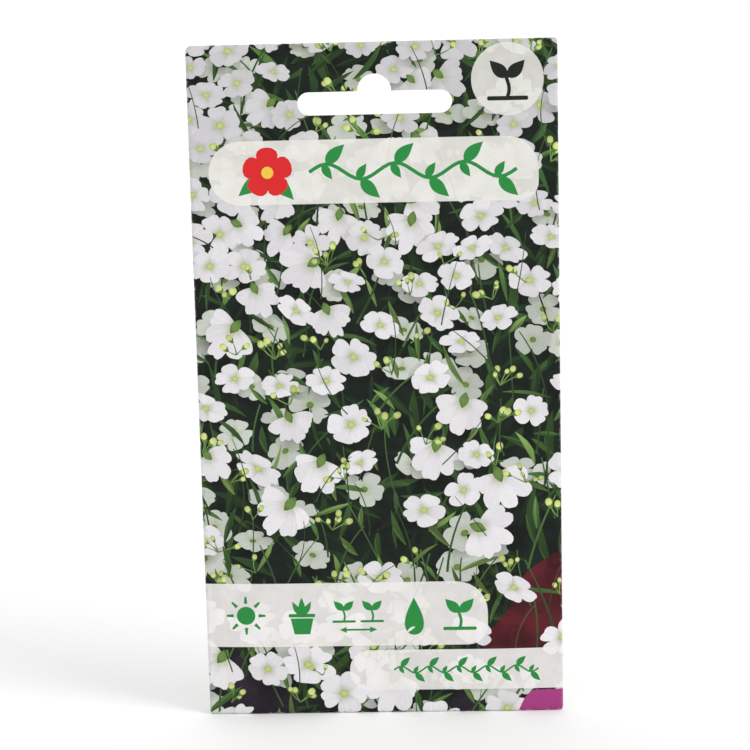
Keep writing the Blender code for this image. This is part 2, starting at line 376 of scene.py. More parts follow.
def shape(points, tint, kind, base=None, along=None, half_width=1.0):
    """base is where the shape's own u is 0, and along the step from there to where u is 1."""
    if base is None:
        left, low, right, high = extent(points)
        base = ((left + right) / 2.0, (low + high) / 2.0)
        along = (0.0, max(high - low, 0.1) / 2.0)
        half_width = max(right - left, 0.1) / 2.0
    length = hypot(*along)
    u_step = (along[0] / length ** 2, along[1] / length ** 2)
    v_step = (-along[1] / length / half_width, along[0] / length / half_width)
    return {"points": points, "tint": tint, "kind": kind, "base": base, "u": u_step, "v": v_step}


def shadow(points, centre, reach, strength):
    """A soft shadow: strongest at its centre and gone near its outline."""
    return {"points": points, "shadow": strength, "centre": centre, "reach": reach}


def veil(points, strength, colour):
    """A see-through pale field printed over the picture."""
    return {"points": points, "veil": strength, "colour": colour}


def ink(shapes, tint, outlines):
    shapes.extend(shape(points, tint, INK) for points in outlines)


def put(shapes, outline, angle, base, tint, kind, length=None, half_width=1.0):
    """Prints an outline that is drawn from the origin along +X, turned and moved to its base."""
    points = turned(outline, angle, base)
    if length is None:
        shapes.append(shape(points, tint, kind))
    else:
        shapes.append(shape(points, tint, kind, base, toward(angle, length), half_width))


def tinted(colour, draw, spread):
    """A colour, a little lighter or darker by chance."""
    factor = 1.0 + draw.uniform(-spread, spread)
    return tuple(channel * factor for channel in colour)


def random_petal(length, width, most_notch, draw):
    return petal_outline(length, width, draw.uniform(0.0, most_notch), draw.uniform(0.02, 0.05),
                         draw.uniform(0.0, tau))


def place_leaf(shapes, x, z, angle, length, width, bend, tint):
    put(shapes, blade(length, width, bend), angle, (x, z), tint, LEAF, length, width / 2.0)


def place_blossom(shapes, x, z, size, tint, throat, draw, shade):
    """A blossom of broad petals round a small throat, seen at a slant, over its own shadow."""
    turn = draw.uniform(0.0, tau)
    slant = draw.uniform(0.55, 0.95)
    slant_way = draw.uniform(-0.6, 0.6)
    cos_w, sin_w = cos(slant_way), sin(slant_way)

    def slanted(px, pz):
        across = px * cos_w + pz * sin_w
        up = (-px * sin_w + pz * cos_w) * slant
        return across * cos_w - up * sin_w, across * sin_w + up * cos_w

    def placed(points):
        return [(x + px, z + pz) for px, pz in (slanted(*point) for point in points)]

    radius = size / 2.0
    centre = (x - 0.07 * size, z - 0.10 * size)
    halo = []
    for step in range(30):
        angle = tau * step / 30
        far = radius * 1.16 * (1.0 + 0.10 * cos(PETALS * (angle - turn)))
        px, pz = slanted(cos(angle), sin(angle))
        halo.append((centre[0] + px * far, centre[1] + pz * far))
    shapes.append(shadow(halo, centre, radius * 1.2, shade))
    order = list(range(PETALS))
    draw.shuffle(order)
    for index in order:
        way = turn + tau * index / PETALS + draw.uniform(-0.14, 0.14)
        length = radius * draw.uniform(0.90, 1.08)
        width = radius * draw.uniform(0.88, 1.10)
        outline = placed(turned(random_petal(length, width, 0.16, draw), way, (0.0, 0.0)))
        along = slanted(*toward(way, length))
        if hypot(*along) >= LEAST_PETAL:
            half = width / 2.0 * (slant + 1.0) / 2.0
            shapes.append(shape(outline, tinted(tint, draw, 0.05), PETAL, (x, z), along, half))
    shapes.append(shape(placed(disc(0.0, 0.0, 0.085 * size, 9)), throat, BUD))


def place_side_blossom(shapes, x, z, size, tint, draw):
    """A blossom seen from the side: a fan of petals out of a small green cup."""
    way = draw.choice((-1.0, 1.0)) * draw.uniform(0.2, 1.3) - pi / 2.0
    base = (x - 0.35 * size * cos(way), z - 0.35 * size * sin(way))
    halo = [(x + 0.62 * size * px, z - 0.1 * size + 0.5 * size * pz)
            for px, pz in disc(0.0, 0.0, 1.0, 18)]
    shapes.append(shadow(halo, (x, z - 0.1 * size), 0.62 * size, 0.45))
    for lean in (-1.25, 1.15, -0.62, 0.60, 0.0):
        turn = way + lean * draw.uniform(0.85, 1.1)
        length = size * draw.uniform(0.70, 0.85) * (1.0 - 0.22 * abs(lean))
        width = size * draw.uniform(0.34, 0.44)
        put(shapes, random_petal(length, width, 0.14, draw), turn, base, tinted(tint, draw, 0.05),
            PETAL, length, width / 2.0)
    cup_base = (base[0] - 0.16 * size * cos(way), base[1] - 0.16 * size * sin(way))
    put(shapes, blade(0.34 * size, 0.20 * size, 0.0, 5), way, cup_base, CALYX, BUD)


def place_bud(shapes, x, z, angle, size, tint, calyx):
    """A closed, pear-shaped bud on a small green cup."""
    pear = []
    for step in range(14):
        turn = tau * step / 14
        along = size * (0.62 + 0.62 * -cos(turn))
        across = size * 0.46 * sin(turn) * (0.80 - 0.25 * cos(turn))
        pear.append((along, across))
    cup = [(0.0, -0.10 * size), (0.55 * size, -0.40 * size), (0.38 * size, 0.0),
           (0.55 * size, 0.40 * size), (0.0, 0.10 * size)]
    put(shapes, pear, angle, (x, z), tint, BUD)
    put(shapes, cup, angle, (x, z), calyx, BUD)


def place_stem(shapes, x, z, angle, length, width, bend, tint, steps=9):
    """A bent stem. Gives back its tip and the way it points there."""
    path, way = [], angle
    for _ in range(steps + 1):
        path.append((x, z))
        x += length / steps * cos(way)
        z += length / steps * sin(way)
        way += bend / steps
    widths = [width * (1.0 - 0.45 * step / steps) for step in range(steps + 1)]
    along = (path[-1][0] - path[0][0], path[-1][1] - path[0][1])
    shapes.append(shape(ribbon(path, widths), tint, LEAF, path[0], along, width * 2.0))
    return path[-1], way


# The front's picture: a bed of white blossoms over dark leaves

PICTURE_DRAW = 4
WHITE = (0.735, 0.718, 0.735)
DIM_WHITE = (0.50, 0.53, 0.475)
THROAT = (0.46, 0.53, 0.18)
BUD_GREEN = (0.49, 0.56, 0.19)
CALYX = (0.12, 0.21, 0.05)
DEEP_GREENS = ((0.008, 0.016, 0.009), (0.014, 0.036, 0.012), (0.027, 0.062, 0.015))
MID_GREENS = ((0.036, 0.088, 0.022), (0.068, 0.140, 0.034), (0.125, 0.205, 0.055))
STEM_GREEN = (0.042, 0.088, 0.026)
SOIL = (0.006, 0.011, 0.007)
DARK_RED = (0.080, 0.008, 0.013)
MAGENTA = (0.36, 0.045, 0.21)
PURPLE_BLACK = (0.016, 0.011, 0.019)
PATCHES = ((33.0, 19.0, 8.0, DARK_RED), (39.0, 28.0, 8.5, DARK_RED), (27.0, 15.5, 5.0, DARK_RED),
           (-27.0, 3.0, 7.5, PURPLE_BLACK), (-37.0, 9.0, 6.0, PURPLE_BLACK),
           (-5.0, 0.0, 6.0, PURPLE_BLACK), (20.0, 0.0, 6.0, PURPLE_BLACK))
MAGENTA_CORNER = [(29.6, -2.0), (30.3, 0.9), (31.1, 2.6), (32.0, 3.9), (33.2, 4.9), (42.0, 5.0),
                  (42.0, -2.0)]

# Where each layer is strewn: left, right, low and high
LEAVES_IN = (-43.0, 43.0, -6.0, 154.0)
STEMS_IN = (-41.0, 41.0, -6.0, 140.0)
DIM_BLOSSOMS_IN = (-42.0, 42.0, -3.0, 152.0)
BLOSSOMS_IN = (-42.0, 42.0, -3.0, 153.0)
BUDS_IN = (-40.0, 40.0, 2.0, 149.0)

# Heights, with how much of the bed stays clear of blossoms there and how light the blossoms are
CLEARANCE = ((0.0, 14.0, 26.0, 86.0, 100.0, 114.0, 128.0, 150.0),
             (0.20, 0.24, 0.37, 0.38, 0.24, 0.26, 0.38, 0.40))
BLOSSOM_LIGHT = ((0.0, 85.0, 115.0, 128.0, 150.0), (1.0, 0.98, 0.92, 0.80, 0.78))
LOW_SIZE = 11.8
HIGH_SIZE = 8.6
CLUMP = 13.0
CLUMP_DRAW = 8.0
DIM_CLUMP_DRAW = 3.0
SIDEWAYS_SHARE = 0.28
ON_RED_SHARE = 0.35


def size_at(z):
    """The blossoms' size at a height: larger below, where the bed is nearer."""
    return blend(LOW_SIZE, HIGH_SIZE, z / 150.0)


def rough_disc(x, z, radius, draw):
    """A patch with an uneven outline."""
    start = draw.uniform(0.0, 100.0)
    points = []
    for px, pz in disc(0.0, 0.0, 1.0, 30):
        far = radius * (1.0 + 0.28 * noise(Vector((px * 1.6, pz * 1.6, start))))
        points.append((x + px * far, z + pz * far))
    return points


def on_red(x, z):
    """True over the dark red patches, where few plants are drawn."""
    return any(hypot(x - px, z - pz) < radius
               for px, pz, radius, tint in PATCHES if tint == DARK_RED)


def scattered(draw, count, region, spacing):
    """Places in a region, from count tries. spacing is a number or a function of the height."""
    left, right, low, high = region
    kept = []
    for _ in range(count):
        x, z = draw.uniform(left, right), draw.uniform(low, high)
        room = spacing(z) if callable(spacing) else spacing
        if all((x - px) ** 2 + (z - pz) ** 2 > room * room for px, pz in kept):
            kept.append((x, z))
    return kept


def cover(x, z, draw_seed):
    """Where blossoms crowd: near 1 in a clump and near 0 in a gap."""
    return 0.5 + noise(Vector((x / CLUMP, z / CLUMP, draw_seed))) * 0.9


def strew_leaves(shapes, draw, count, room, sway, greens, spread, lengths, widths, bend, red_too):
    for x, z in scattered(draw, count, LEAVES_IN, room):
        angle = pi / 2.0 + draw.gauss(0.0, sway)
        if red_too or not on_red(x, z):
            tint = tinted(draw.choice(greens), draw, spread)
            place_leaf(shapes, x, z, angle, draw.uniform(*lengths), draw.uniform(*widths),
                       draw.uniform(-bend, bend), tint)


def strew_stems(shapes, draw, count, room, sway, lengths, widths, bend):
    for x, z in scattered(draw, count, STEMS_IN, room):
        place_stem(shapes, x, z, pi / 2.0 + draw.gauss(0.0, sway), draw.uniform(*lengths),
                   draw.uniform(*widths), draw.uniform(-bend, bend), tinted(STEM_GREEN, draw, 0.4))


def strew_dim_blossoms(shapes, draw):
    """Blossoms deep in the bed, in the shade."""
    for x, z in scattered(draw, 2600, DIM_BLOSSOMS_IN, 6.4):
        clear = blend(0.50, 0.40, smooth((z - 80.0) / 40.0))
        if not on_red(x, z) and cover(x, z, DIM_CLUMP_DRAW) >= clear:
            tint = tinted(DIM_WHITE, draw, 0.14)
            size = size_at(z) * draw.uniform(0.80, 1.0)
            place_blossom(shapes, x, z, size, tint, CALYX, draw, 0.55)


def strew_blossoms(shapes, draw):
    """The light blossoms, the lower ones mostly in front."""
    def room(z):
        return size_at(z) * blend(0.80, 0.66, smooth((z - 80.0) / 35.0))

    spots = [(x, z) for x, z in scattered(draw, 6000, BLOSSOMS_IN, room)
             if cover(x, z, CLUMP_DRAW) > np.interp(z, *CLEARANCE)
             and (not on_red(x, z) or draw.random() < ON_RED_SHARE)]
    for x, z in sorted(spots, key=lambda spot: -spot[1] + draw.uniform(-4.0, 4.0)):
        light = float(np.interp(z, *BLOSSOM_LIGHT))
        tint = tinted(tuple(channel * light for channel in WHITE), draw, 0.05)
        size = size_at(z) * draw.uniform(0.84, 1.12)
        if draw.random() < SIDEWAYS_SHARE:
            place_side_blossom(shapes, x, z, size, tint, draw)
        else:
            place_blossom(shapes, x, z, size, tint, THROAT, draw, 0.45)


def strew_buds(shapes, draw):
    """Groups of buds on short stems, in the gaps between the blossoms."""
    for x, z in scattered(draw, 900, BUDS_IN, 7.5):
        if cover(x, z, CLUMP_DRAW) > 0.52:
            continue
        for _ in range(draw.randint(2, 5)):
            angle = pi / 2.0 + draw.uniform(-1.3, 1.3)
            reach = draw.uniform(1.0, 3.6)
            tip, way = place_stem(shapes, x, z, angle, reach, 0.3, draw.uniform(-0.5, 0.5),
                                  tinted(CALYX, draw, 0.2), 3)
            place_bud(shapes, *tip, way, draw.uniform(1.2, 2.1), tinted(BUD_GREEN, draw, 0.2),
                      tinted(CALYX, draw, 0.3))


def picture():
    """The whole bed, from the deepest leaves to the thin stems in front."""
    draw = random.Random(PICTURE_DRAW)
    shapes = []
    strew_leaves(shapes, draw, 5200, 3.7, 0.9, DEEP_GREENS, 0.35, (6.0, 13.0), (1.0, 2.3), 0.35, True)
    for x, z, radius, tint in PATCHES:
        shapes.append(shape(rough_disc(x, z, radius, draw), tint, GROUND))
    strew_dim_blossoms(shapes, draw)
    strew_leaves(shapes, draw, 2600, 5.2, 0.75, MID_GREENS, 0.3, (5.0, 11.0), (0.8, 1.6), 0.4, False)
    strew_stems(shapes, draw, 500, 7.0, 0.35, (10.0, 22.0), (0.35, 0.6), 0.7)
    strew_blossoms(shapes, draw)
    strew_buds(shapes, draw)
    strew_stems(shapes, draw, 300, 13.0, 0.4, (9.0, 18.0), (0.22, 0.34), 0.8)
    ink(shapes, MAGENTA, [MAGENTA_CORNER])
    return shapes


# The pale fields over the picture, and the small drawings in them

VEIL_WHITE = (0.775, 0.762, 0.715)
VEIL_NEUTRAL = (0.85, 0.825, 0.81)
INK_GREEN = (0.022, 0.245, 0.050)
INK_RED = (0.66, 0.020, 0.022)
INK_DARK = (0.012, 0.016, 0.012)
INK_YELLOW = (0.80, 0.55, 0.06)
# Box, corner radii, strength and colour of each field
FIELDS = (((-35.9, 115.4, 35.7, 129.3), (6.9, 4.0, 6.9, 6.9), 0.87, VEIL_WHITE),
          ((-60.0, 15.9, 23.3, 30.6), (0.0, 4.5, 7.0, 0.0), 0.82, VEIL_NEUTRAL),
          ((-7.9, 5.3, 60.0, 14.8), (4.4, 0.0, 0.0, 4.4), 0.82, VEIL_NEUTRAL))
BADGE = (29.2, 141.5, 7.8)
ROW_Z = 23.2
ROW_SIZE = 8.8
FLOWER_X = -23.1


def drawn_leaf(x, z, angle, length, width, bend=0.0):
    return [turned(blade(length, width, bend, 8, 0.8), angle, (x, z))]


def leaf_pair(x, z, degrees, length, width, bend):
    """Two leaves that mirror each other about the vertical."""
    return (drawn_leaf(x, z, radians(degrees), length, width, bend)
            + drawn_leaf(x, z, radians(180.0 - degrees), length, width, -bend))


def drawn_flower(x, z, radius):
    petal = petal_outline(radius, radius * 0.98, 0.0, 0.0, 0.0, 16)
    return [turned(petal, pi / 2.0 + tau * index / PETALS, (x, z)) for index in range(PETALS)]


def drawn_vine(start, end, middle, sway, waves, scale):
    """A wavy stem with a large leaf outside and a small one inside every crest."""
    def on_vine(along):
        return blend(start, end, along), middle + sway * sin(tau * waves * along)

    steps = waves * 12
    path = [on_vine(step / steps) for step in range(steps + 1)]
    outlines = [ribbon(path, [0.62 * scale] * (steps + 1))]
    for index in range(1, 2 * waves + 1):
        up = 1.0 if index % 2 else -1.0
        crest = (index - 0.5) / (2.0 * waves)
        outlines += drawn_leaf(*on_vine(crest), up * 0.92, 4.6 * scale, 2.2 * scale, -0.12 * up)
        outlines += drawn_leaf(*on_vine(crest - 0.05 / waves), -up * 1.15, 3.0 * scale,
                               1.5 * scale, 0.12 * up)
    return outlines


def drawn_sprout(x, z, size):
    """A seedling with two leaves over a line of soil."""
    soil = even_box(x - 0.48 * size, z - 0.5 * size, x + 0.48 * size, z - 0.40 * size, 0.04 * size, 3)
    stem = [(x + 0.04 * size * sin(step * 0.7), z - 0.42 * size + 0.5 * size * step / 6)
            for step in range(7)]
    leaves = leaf_pair(x, z + 0.04 * size, 38.0, 0.56 * size, 0.30 * size, 0.1)
    return [soil, ribbon(stem, [0.085 * size] * 7)] + leaves


def drawn_sun(x, z, size):
    rays = zip(disc(x, z, 0.32 * size, 8), disc(x, z, 0.5 * size, 8))
    return [disc(x, z, 0.24 * size, 20)] + [ribbon(ray, [0.09 * size, 0.05 * size]) for ray in rays]


def drawn_drop(x, z, size):
    points = []
    for step in range(22):
        angle = tau * step / 22
        points.append((x + 0.34 * size * sin(angle) * sin(angle / 2.0) ** 1.3,
                       z + 0.5 * size * cos(angle) - 0.06 * size))
    return [points]


def drop_gleam(x, z, size):
    gleam = blade(0.26 * size, 0.07 * size, 0.3, 5)
    return [turned(gleam, radians(200.0), (x + 0.02 * size, z - 0.34 * size))]


def drawn_pot(x, z, size):
    low, high, top = z - 0.5 * size, z - 0.08 * size, z + 0.01 * size
    body = [(x - 0.20 * size, low), (x + 0.20 * size, low), (x + 0.29 * size, high),
            (x - 0.29 * size, high)]
    edge_low = high + 0.03 * size
    edge = even_box(x - 0.34 * size, edge_low, x + 0.34 * size, edge_low + 0.09 * size, 0.03 * size, 2)
    return ([body, edge] + drawn_leaf(x, top, pi / 2.0, 0.46 * size, 0.17 * size)
            + leaf_pair(x, top, 45.0, 0.42 * size, 0.16 * size, 0.2))


def drawn_spacing(x, z, size):
    """Two seedlings with an arrow between them for how far apart they go."""
    outlines = []
    for side in (-1.0, 1.0):
        outlines += drawn_sprout(x + side * 0.36 * size, z + 0.1 * size, 0.62 * size)
        tip, barb = x + side * 0.48 * size, x + side * 0.30 * size
        outlines.append([(tip, z - 0.40 * size), (barb, z - 0.32 * size), (barb, z - 0.48 * size)])
    return outlines + [even_box(x - 0.32 * size, z - 0.425 * size, x + 0.32 * size, z - 0.375 * size)]


def front_fields():
    shapes = [veil(rounded_box(*box, radii), strength, colour)
              for box, radii, strength, colour in FIELDS]
    shapes.append(veil(disc(*BADGE, 40), 0.80, VEIL_WHITE))
    for degrees, bend in ((205.0, 0.15), (325.0, -0.15)):
        ink(shapes, INK_GREEN, drawn_leaf(FLOWER_X, 121.7, radians(degrees), 7.6, 3.4, bend))
    ink(shapes, INK_RED, drawn_flower(FLOWER_X, 122.4, 5.5))
    ink(shapes, INK_YELLOW, [disc(FLOWER_X, 122.4, 5.5 * 0.24, 16)])
    ink(shapes, INK_GREEN, drawn_vine(-14.0, 31.0, 122.3, 1.7, 3, 1.25))
    for index, drawn in enumerate((drawn_sun, drawn_pot, drawn_spacing)):
        ink(shapes, INK_GREEN, drawn(-31.0 + 12.6 * index, ROW_Z, ROW_SIZE))
    ink(shapes, INK_GREEN, drawn_drop(6.8, ROW_Z, ROW_SIZE))
    ink(shapes, VEIL_WHITE, drop_gleam(6.8, ROW_Z, ROW_SIZE))
    ink(shapes, INK_GREEN, drawn_sprout(17.0, ROW_Z, 7.8) + drawn_vine(2.0, 34.5, 10.05, 0.8, 5, 0.64))
    ink(shapes, INK_DARK, drawn_sprout(*BADGE[:2], 9.2))
    return shapes


# The back's print. Seen from behind, +X is on the left

BACK_DRAW = 9
BACK_PAPER = (0.80, 0.81, 0.74)
BACK_BAND = (0.055, 0.235, 0.070)
BACK_PALE = (0.60, 0.70, 0.50)
BACK_LINE = (0.10, 0.32, 0.12)
MONTH_FILL = (0.30, 0.55, 0.18)
FRAME_FILL = (0.86, 0.86, 0.82)
BAND_LOW = 117.0
LINE_LOW = 115.4
LINE_HIGH = 116.2
FOOT_HIGH = 5.0
BACK_MARGIN = 35.5
CROWN_Z = 119.0
CROWN_STEP = 9.0
MONTHS_Z = 66.0
MONTHS_WIDE = 71.0
MONTHS = 12
# First and last filled box of each row, counted from the low end of X, the lower row first
SEASONS = ((4, 8), (7, 9))
BACK_ROW_Z = 53.5
BACK_ROW_SIZE = 9.5


def framed(shapes, left, low, right, high, radius, line, fill):
    """A filled box with a line round it."""
    ink(shapes, BACK_LINE, [even_box(left, low, right, high, radius)])
    inner = even_box(left + line, low + line, right - line, high - line, max(radius - line, 0.0))
    ink(shapes, fill, [inner])


def back_picture(shapes, draw):
    """A framed bed of blossoms on the back."""
    framed(shapes, -BACK_MARGIN, 84.0, BACK_MARGIN, 112.0, 4.0, 0.35, DEEP_GREENS[1])
    for x, z in scattered(draw, 900, (-33.5, 33.5, 86.0, 108.0), 3.4):
        angle = pi / 2.0 + draw.gauss(0.0, 0.8)
        reach = min(7.0, 111.0 - z)
        place_leaf(shapes, x, z, angle, min(draw.uniform(3.5, 6.5), reach), draw.uniform(0.8, 1.5),
                   draw.uniform(-0.3, 0.3), tinted(draw.choice(MID_GREENS), draw, 0.35))
    for x, z in scattered(draw, 900, (-29.5, 29.5, 89.5, 106.5), 6.0):
        size = draw.uniform(7.4, 8.8)
        place_blossom(shapes, x, z, size, tinted(WHITE, draw, 0.05), THROAT, draw, 0.5)


def month_boxes(shapes):
    """Two rows of twelve boxes, filled for the months of sowing and of flowering."""
    for row, (first, last) in enumerate(SEASONS):
        low = MONTHS_Z + row * 6.6
        for month in range(MONTHS):
            left = -BACK_MARGIN + month * MONTHS_WIDE / MONTHS
            right = left + MONTHS_WIDE / MONTHS - 0.25
            framed(shapes, left + 0.25, low, right, low + 5.6, 0.8, 0.22,
                   MONTH_FILL if first <= month <= last else BACK_PAPER)


def back_print():
    draw = random.Random(BACK_DRAW)
    shapes = []
    ink(shapes, BACK_PAPER, [even_box(-60.0, -5.0, 60.0, 156.0)])
    ink(shapes, BACK_BAND, [even_box(-60.0, BAND_LOW, 60.0, 156.0)])
    ink(shapes, BACK_LINE, [even_box(-60.0, LINE_LOW, 60.0, LINE_HIGH)])
    for index in range(9):
        x = -36.0 + CROWN_STEP * index
        ink(shapes, BACK_PALE, leaf_pair(x, CROWN_Z, 28.0, 4.4, 1.7, 0.15))
        ink(shapes, MONTH_FILL, leaf_pair(x, CROWN_Z, 62.0, 5.2, 1.9, 0.08))
        ink(shapes, BACK_PALE, drawn_leaf(x, CROWN_Z, pi / 2.0, 6.4, 2.0))
    ink(shapes, BACK_BAND, [even_box(-60.0, -5.0, 60.0, FOOT_HIGH)])
    back_picture(shapes, draw)
    month_boxes(shapes)
    for index, drawn in enumerate((drawn_sun, drawn_pot, drawn_spacing, drawn_sprout, drawn_drop)):
        ink(shapes, BACK_LINE, drawn(28.0 - 14.0 * index, BACK_ROW_Z, BACK_ROW_SIZE))
    ink(shapes, BACK_PAPER, drop_gleam(-28.0, BACK_ROW_Z, BACK_ROW_SIZE))
    framed(shapes, -BACK_MARGIN, 24.0, BACK_MARGIN, 43.0, 2.4, 0.28, FRAME_FILL)
    framed(shapes, -BACK_MARGIN, 9.0, 3.0, 20.0, 2.0, 0.28, FRAME_FILL)
    ink(shapes, BACK_LINE, drawn_vine(8.0, 34.0, 14.5, 1.2, 4, 0.8))
    return shapes


# Triangulated sheets with their print

SHEET_STEP = 1.5
NOSE_STEP = 0.18
PLAIN_STEP = 3.0
MERGE_UNDER = 1e-4
COVER_STEP = 0.2
LEAST_SEEN = 0.16
SHARP_FROM = 50.0
NO_VEIL = (0.0, 0.0, 0.0, 0.0)
# Where the printed face and the plain one lie on the flat map, and how wide the cut edge is there
PRINT_SHARE = 0.86
PLAIN_START = 0.88
PLAIN_SHARE = 0.11
MAP_MARGIN = 0.6
MAP_RIM = 0.3


def within(outline, columns, rows):
    """A grid of rows by columns: True where a point lies inside the outline."""
    across, up = np.asarray(columns)[None, :], np.asarray(rows)[:, None]
    hit = np.zeros((len(rows), len(columns)), bool)
    for (ax, az), (bx, bz) in sides_of(outline):
        if az != bz:
            hit ^= ((az > up) != (bz > up)) & (across < (bx - ax) * (up - az) / (bz - az) + ax)
    return hit


def grid_points(outline, columns, rows):
    hit = within(outline, columns, rows)
    return [(x, z) for i, x in enumerate(columns) for k, z in enumerate(rows) if hit[k, i]]


def drop_hidden(shapes, outline):
    """Leaves out the printed shapes that later ones cover almost wholly."""
    left, low, right, high = extent(outline)
    columns = np.arange(left, right, COVER_STEP)
    rows = np.arange(low, high, COVER_STEP)
    covered = np.zeros((len(rows), len(columns)), bool)
    kept = []
    for item in reversed(shapes):
        left, low, right, high = extent(item["points"])
        across = slice(*np.searchsorted(columns, (left, right)))
        up = slice(*np.searchsorted(rows, (low, high)))
        hit = within(item["points"], columns[across], rows[up])
        patch = covered[up, across]
        least = 0.0 if item.get("kind") == INK else LEAST_SEEN
        if (hit & ~patch).sum() > least * hit.sum():
            kept.append(item)
            if "tint" in item:
                patch |= hit
    return kept[::-1]


def divided(outline, step):
    """An outline with points no further apart than step."""
    points = []
    for (ax, az), (bx, bz) in sides_of(outline):
        count = max(1, ceil(hypot(bx - ax, bz - az) / step))
        points += [(blend(ax, bx, k / count), blend(az, bz, k / count)) for k in range(count)]
    return points


def spaced(low, high, step):
    count = max(1, round((high - low) / step))
    return [blend(low, high, (k + 0.5) / count) for k in range(count)]


def anticlockwise(outline):
    area = sum(ax * bz - bx * az for (ax, az), (bx, bz) in sides_of(outline))
    return outline if area > 0.0 else outline[::-1]


def triangulate(outlines, loose):
    """Triangles over flat outlines. Each triangle lists the outlines that it lies in.

    Points nearer than MERGE_UNDER millimetres become one, so that no triangle is empty. With a
    larger value a thin outline breaks, and its tint spills over the sheet.
    """
    points, faces = [], []
    for outline in map(anticlockwise, outlines):
        faces.append(list(range(len(points), len(points) + len(outline))))
        points += outline
    flat = [Vector(point) for point in points + loose]
    made = delaunay_2d_cdt(flat, [], faces, 0, MERGE_UNDER, True)
    return made[0], made[2], made[5], made[3]


def rim_loops(triangles):
    """The outer edges of a set of triangles, joined into closed loops, the longest first."""
    seen = set()
    for a, b, c in triangles:
        seen.update(((a, b), (b, c), (c, a)))
    following = {a: b for a, b in seen if (b, a) not in seen}
    loops = []
    while following:
        first, after = following.popitem()
        loop = [first]
        while after != first:
            loop.append(after)
            after = following.pop(after)
        loops.append(loop)
    return sorted(loops, key=len, reverse=True)


def printed_side(outline, holes, shapes, loose):
    """The printed face's points and triangles, with the shapes that each triangle lies in."""
    outlines = [outline] + holes + [divided(item["points"], SHEET_STEP) for item in shapes]
    points, triangles, found_in, _ = triangulate(outlines, loose)
    first = 1 + len(holes)
    kept, owners = [], []
    for triangle, found in zip(triangles, found_in):
        if 0 in found and not any(0 < index < first for index in found):
            kept.append(triangle)
            owners.append(sorted(index - first for index in found if index >= first))
    return points, kept, owners


def plain_side(outline, points, loops):
    """The plain face's points and triangles, with its partner of each point on the print's rims."""
    around = [loops[0]] + [loop[::-1] for loop in loops[1:]]
    rims = [[tuple(points[index]) for index in loop] for loop in around]
    left, low, right, high = extent(outline)
    loose = grid_points(outline, spaced(left, right, PLAIN_STEP), spaced(low, high, PLAIN_STEP))
    made, triangles, found_in, made_from = triangulate(rims, loose)
    kept = [triangle for triangle, found in zip(triangles, found_in) if found == [0]]
    order = sum(around, [])
    partner = {order[source]: index for index, sources in enumerate(made_from)
               for source in sources if source < len(order)}
    return made, kept, partner


def numbered(triangles, start):
    """New numbers for the points that the triangles use, counted up from start."""
    used = sorted({index for triangle in triangles for index in triangle})
    return {index: start + number for number, index in enumerate(used)}


def bent(flat, outer_count, face, outward):
    """Where the flat sheet's points lie on the packet, and which way the sheet faces there."""
    places, facing = [], []
    for number, point in enumerate(flat):
        x, z = point.x * MM, point.y * MM
        across = face(x + NORMAL_REACH, z) - face(x - NORMAL_REACH, z)
        up = face(x, z + NORMAL_REACH) - face(x, z - NORMAL_REACH)
        inward = across.cross(up).normalized() * outward
        if number < outer_count:
            places.append(face(x, z))
            facing.append(-inward)
        else:
            places.append(face(x, z) + inward * PAPER)
            facing.append(inward)
    return places, facing


def printed_sheet(name, node, face, outline, holes, shapes, ground, outward, columns, rows, looks):
    """A closed sheet of paper with a print on its outer face.

    face gives the outer face's point for flat coordinates in metres. outward is -1 for a sheet
    whose printed side faces forward and 1 for one that faces back. looks are the materials of the
    printed face and of the bare paper.
    """
    shapes = drop_hidden(shapes, outline)
    points, triangles, owners = printed_side(outline, holes, shapes,
                                             grid_points(outline, columns, rows))
    loops = rim_loops(triangles)
    plain_points, plain_triangles, partner = plain_side(outline, points, loops)
    outer = numbered(triangles, 0)
    inner = numbered(plain_triangles, len(outer))
    flat = [points[index] for index in outer] + [plain_points[index] for index in inner]
    places, facing = bent(flat, len(outer), face, outward)
    way = -1 if outward > 0.0 else 1
    faces = [[outer[index] for index in triangle[::way]] for triangle in triangles]
    faces += [[inner[index] for index in triangle[::-way]] for triangle in plain_triangles]
    rim_start = len(faces)
    for loop in loops:
        for a, b in sides_of(loop):
            faces.append([outer[b], outer[a], inner[partner[a]], inner[partner[b]]][::way])

    mesh = bpy.data.meshes.new(name)
    mesh.from_pydata(places, [], faces)
    for look in looks:
        mesh.materials.append(look)
    printed = len(triangles)
    mesh.polygons.foreach_set("material_index", [0] * printed + [1] * (len(faces) - printed))
    print_values(mesh, points, [triangle[::way] for triangle in triangles], owners, shapes, ground)
    bake_map(mesh, flat, len(outer), printed, rim_start, outline)
    mesh.shade_smooth()
    mesh.set_sharp_from_angle(angle=radians(SHARP_FROM))
    set_normals(mesh, facing, rim_start)
    piece = linked(name, mesh)
    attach(piece, "root")
    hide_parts(node)


def set_normals(mesh, facing, rim_start):
    """Gives both faces the normals of the sheet's form, and leaves the cut edges their own."""
    normals = []
    for polygon in mesh.polygons:
        for vertex in polygon.vertices:
            normals.append(facing[vertex] if polygon.index < rim_start else Vector((0.0, 0.0, 0.0)))
    mesh.normals_split_custom_set(normals)


def corner_values(point, owner, shades):
    """The print at one corner: its own coordinates and kind, and its tint and shade."""
    dx, dz = point.x - owner["base"][0], point.y - owner["base"][1]
    u = dx * owner["u"][0] + dz * owner["u"][1]
    v = dx * owner["v"][0] + dz * owner["v"][1]
    light = 1.0
    for soft in shades:
        off = hypot(point.x - soft["centre"][0], point.y - soft["centre"][1]) / soft["reach"]
        light *= 1.0 - soft["shadow"] * smooth(1.35 * (1.0 - off))
    return (u, v, owner["kind"]), (*owner["tint"], light)


